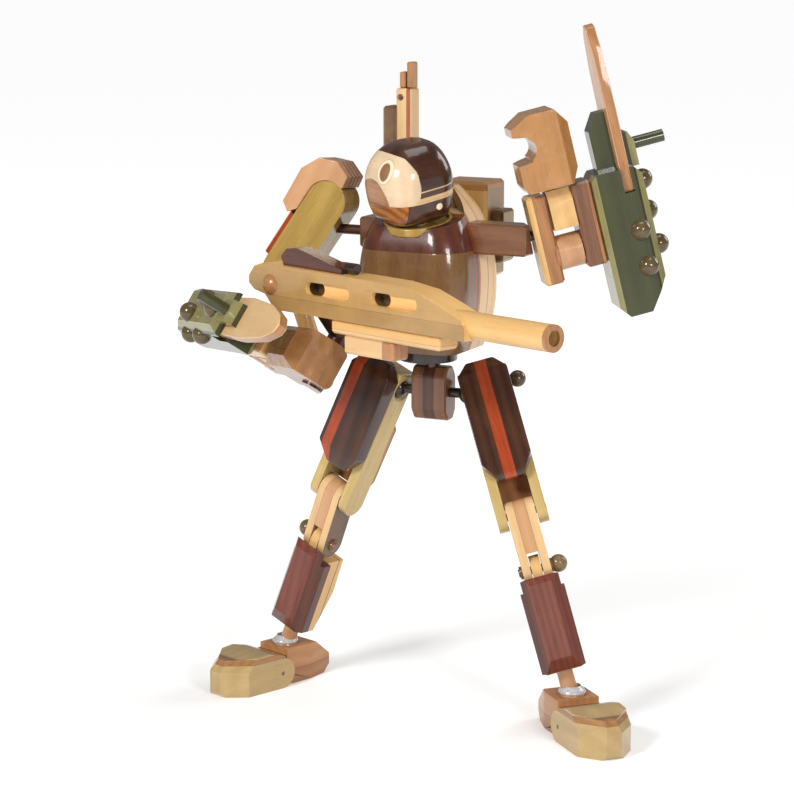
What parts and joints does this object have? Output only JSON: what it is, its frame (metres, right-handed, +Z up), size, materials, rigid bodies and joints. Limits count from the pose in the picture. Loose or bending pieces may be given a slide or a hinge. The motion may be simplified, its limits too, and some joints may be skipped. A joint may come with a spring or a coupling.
{
  "type": "articulated wooden robot figure",
  "caption": "Standing wooden robot figure with ball and pin joints, forearm blades and a rifle prop, its limbs posable and held by friction.",
  "frame": {"origin": "middle of the bounding box, on the floor under the soles", "axes": "+Z up; the chest faces -Y; +X towards the figure's left hand"},
  "size_m": [0.2532, 0.1564, 0.3429],
  "materials": {
    "walnut": "dark brown open-grained wood under gloss lacquer",
    "maple": "pale cream wood under satin lacquer",
    "chest_wood": "olive brown wood under gloss lacquer",
    "padauk": "orange red wood under gloss lacquer",
    "olive_wood": "greenish yellow wood under gloss lacquer",
    "teak": "warm brown wood under satin lacquer",
    "pink_wood": "pinkish beige wood under satin lacquer",
    "green_wood": "dark green stained wood under gloss lacquer",
    "ebony": "near black wood under gloss lacquer",
    "burl": "figured orange brown burl under gloss lacquer",
    "stud_wood": "turned brown beads under gloss lacquer"
  },
  "bodies": {
    "torso": {"torso_chest": "chest_wood", "torso_yoke": "walnut", "torso_back": "maple", "torso_base": "ebony", "collar": "olive_wood", "shoulder_beam": "walnut", "backpack": "maple", "cannon": "teak"},
    "neck": {"neck_post": "maple"},
    "head": {"head_dome": "walnut", "head_visor": "maple", "head_jaw": "burl"},
    "pelvis": {"pelvis_block": "walnut"},
    "hip_r": {"hip_axle_r": "ebony"},
    "thigh_r": {"thigh_fork_r": "olive_wood", "thigh_armor_r": "walnut", "thigh_rear_r": "teak"},
    "link_r": {"knee_link_r": "pink_wood"},
    "shank_r": {"calf_r": "maple", "shin_armor_r": "padauk"},
    "ankle_r": {"ankle_pin_r": "maple"},
    "foot_r": {"heel_block_r": "teak"},
    "toe_r": {"toe_shell_r": "olive_wood"},
    "shoulder_r": {"shoulder_ball_r": "ebony"},
    "arm_r": {"arm_board_r": "teak"},
    "forearm_r": {"forearm_boards_r": "maple", "gauntlet_r": "green_wood", "blade_r": "pink_wood", "studs_r": "stud_wood"},
    "hand_r": {"fist_r": "burl"},
    "hip_l": {"hip_axle_l": "ebony"},
    "thigh_l": {"thigh_fork_l": "olive_wood", "thigh_armor_l": "walnut", "thigh_rear_l": "teak"},
    "link_l": {"knee_link_l": "pink_wood"},
    "shank_l": {"calf_l": "maple", "shin_armor_l": "padauk"},
    "ankle_l": {"ankle_pin_l": "maple"},
    "foot_l": {"heel_block_l": "teak"},
    "toe_l": {"toe_shell_l": "olive_wood"},
    "shoulder_l": {"shoulder_ball_l": "ebony"},
    "arm_l": {"arm_board_l": "teak"},
    "forearm_l": {"forearm_boards_l": "maple", "gauntlet_l": "green_wood", "blade_l": "pink_wood", "studs_l": "stud_wood"},
    "hand_l": {"fist_l": "burl"},
    "upper_ball_r": {"upper_ball": "walnut"},
    "upper_arm_r": {"upper_arm": "olive_wood", "upper_arm_inlay": "padauk", "shoulder_pad": "pink_wood"},
    "elbow_link_r": {"elbow_link": "maple"},
    "rifle": {"rifle_body": "maple", "rifle_rail": "maple", "rifle_magazine": "pink_wood", "rifle_scope": "walnut", "rifle_barrel": "teak", "rifle_grip": "walnut"}
  },
  "joints": [
    {"name": "neck_turn", "type": "hinge", "parent": "torso", "child": "neck", "pos_m": [0.0071, 0.01525, 0.2585], "axis": [0, -0.2079, 0.9781], "range_deg": [-30, 30]},
    {"name": "head_nod", "type": "hinge", "parent": "neck", "child": "head", "pos_m": [0.0071, 0.01525, 0.2585], "axis": [0.866, -0.4891, -0.104], "range_deg": [-5, 3]},
    {"name": "waist_turn", "type": "hinge", "parent": "torso", "child": "pelvis", "pos_m": [0.0071, 0.03525, 0.1607], "axis": [0, 0, 1], "range_deg": [-8, 8]},
    {"name": "hip_swing_r", "type": "hinge", "parent": "pelvis", "child": "hip_r", "pos_m": [-0.0124, 0.03525, 0.1607], "axis": [1, 0, 0], "range_deg": [-10, 10]},
    {"name": "hip_spread_r", "type": "hinge", "parent": "hip_r", "child": "thigh_r", "pos_m": [-0.0124, 0.03525, 0.1607], "axis": [0, 0.9983, -0.0584], "range_deg": [-6, 4]},
    {"name": "knee_upper_r", "type": "hinge", "parent": "thigh_r", "child": "link_r", "pos_m": [-0.04585, 0.03367, 0.10427], "axis": [0.9041, -0.2128, -0.3705], "range_deg": [-10, 15]},
    {"name": "knee_lower_r", "type": "hinge", "parent": "link_r", "child": "shank_r", "pos_m": [-0.05585, 0.03646, 0.07826], "axis": [0.9041, -0.2128, -0.3705], "range_deg": [-10, 15]},
    {"name": "ankle_turn_r", "type": "hinge", "parent": "shank_r", "child": "ankle_r", "pos_m": [-0.08015, 0.03988, 0.017], "axis": [0.3682, -0.0519, 0.9283], "range_deg": [-12, 12]},
    {"name": "ankle_tilt_r", "type": "hinge", "parent": "ankle_r", "child": "foot_r", "pos_m": [-0.08015, 0.03988, 0.017], "axis": [0.9397, -0.342, 0], "range_deg": [-5, 5]},
    {"name": "toe_lift_r", "type": "hinge", "parent": "foot_r", "child": "toe_r", "pos_m": [-0.08494, 0.02673, 0.008], "axis": [-0.9397, 0.342, 0], "range_deg": [0, 18]},
    {"name": "hip_swing_l", "type": "hinge", "parent": "pelvis", "child": "hip_l", "pos_m": [0.0266, 0.03525, 0.1607], "axis": [1, 0, 0], "range_deg": [-10, 10]},
    {"name": "hip_spread_l", "type": "hinge", "parent": "hip_l", "child": "thigh_l", "pos_m": [0.0266, 0.03525, 0.1607], "axis": [0, 0.9526, -0.3044], "range_deg": [-4, 6]},
    {"name": "knee_upper_l", "type": "hinge", "parent": "thigh_l", "child": "link_l", "pos_m": [0.06116, 0.02124, 0.10671], "axis": [0.8557, 0.444, 0.2658], "range_deg": [-10, 15]},
    {"name": "knee_lower_l", "type": "hinge", "parent": "link_l", "child": "shank_l", "pos_m": [0.07034, 0.01935, 0.08032], "axis": [0.8557, 0.444, 0.2658], "range_deg": [-10, 15]},
    {"name": "ankle_turn_l", "type": "hinge", "parent": "shank_l", "child": "ankle_l", "pos_m": [0.08878, 0.02172, 0.017], "axis": [-0.2795, -0.0358, 0.9595], "range_deg": [-12, 12]},
    {"name": "ankle_tilt_l", "type": "hinge", "parent": "ankle_l", "child": "foot_l", "pos_m": [0.08878, 0.02172, 0.017], "axis": [0.682, 0.7314, 0], "range_deg": [-5, 5]},
    {"name": "toe_lift_l", "type": "hinge", "parent": "foot_l", "child": "toe_l", "pos_m": [0.09902, 0.01217, 0.008], "axis": [-0.682, -0.7314, 0], "range_deg": [0, 18]},
    {"name": "shoulder_tilt_l", "type": "hinge", "parent": "torso", "child": "shoulder_l", "pos_m": [0.0546, 0.03025, 0.2395], "axis": [-0.5592, 0.829, 0], "range_deg": [-8, 8]},
    {"name": "shoulder_turn_l", "type": "hinge", "parent": "shoulder_l", "child": "arm_l", "pos_m": [0.0546, 0.03025, 0.2395], "axis": [0.8044, 0.5426, 0.2419], "range_deg": [-12, 12]},
    {"name": "elbow_l", "type": "hinge", "parent": "arm_l", "child": "forearm_l", "pos_m": [0.05701, 0.03188, 0.22786], "axis": [0.8044, 0.5426, 0.2419], "range_deg": [-20, 20]},
    {"name": "wrist_l", "type": "hinge", "parent": "forearm_l", "child": "hand_l", "pos_m": [0.07149, 0.04165, 0.24458], "axis": [-0.2006, -0.1353, 0.9703], "range_deg": [-30, 30]},
    {"name": "upper_tilt_r", "type": "hinge", "parent": "torso", "child": "upper_ball_r", "pos_m": [-0.0224, 0.03025, 0.2395], "axis": [0, 1, 0], "range_deg": [-1.5, 3]},
    {"name": "upper_turn_r", "type": "hinge", "parent": "upper_ball_r", "child": "upper_arm_r", "pos_m": [-0.0224, 0.03025, 0.2395], "axis": [1, 0, 0], "range_deg": [-3, 3]},
    {"name": "mid_elbow_r", "type": "hinge", "parent": "upper_arm_r", "child": "elbow_link_r", "pos_m": [-0.0689, 0.02625, 0.218], "axis": [-0.0522, 0.9955, -0.0795], "range_deg": [-3, 3]},
    {"name": "arm_tilt_r", "type": "hinge", "parent": "elbow_link_r", "child": "shoulder_r", "pos_m": [-0.0544, 0.02275, 0.167], "axis": [0.3048, 0.4714, 0.8276], "range_deg": [-3, 3]},
    {"name": "arm_turn_r", "type": "hinge", "parent": "shoulder_r", "child": "arm_r", "pos_m": [-0.0544, 0.02275, 0.167], "axis": [0.5941, 0.5851, -0.5521], "range_deg": [-3, 3]},
    {"name": "elbow_r", "type": "hinge", "parent": "arm_r", "child": "forearm_r", "pos_m": [-0.06333, 0.03067, 0.16578], "axis": [0.5941, 0.5851, -0.5521], "range_deg": [-3, 3]},
    {"name": "wrist_r", "type": "hinge", "parent": "forearm_r", "child": "hand_r", "pos_m": [-0.06688, 0.01047, 0.17859], "axis": [0.7444, -0.6599, 0.1018], "range_deg": [-3, 3]},
    {"name": "rifle_turn", "type": "hinge", "parent": "hand_r", "child": "rifle", "pos_m": [-0.02997, -0.01169, 0.17762], "axis": [0.3048, 0.4714, 0.8276], "range_deg": [-3, 3]}
  ]
}
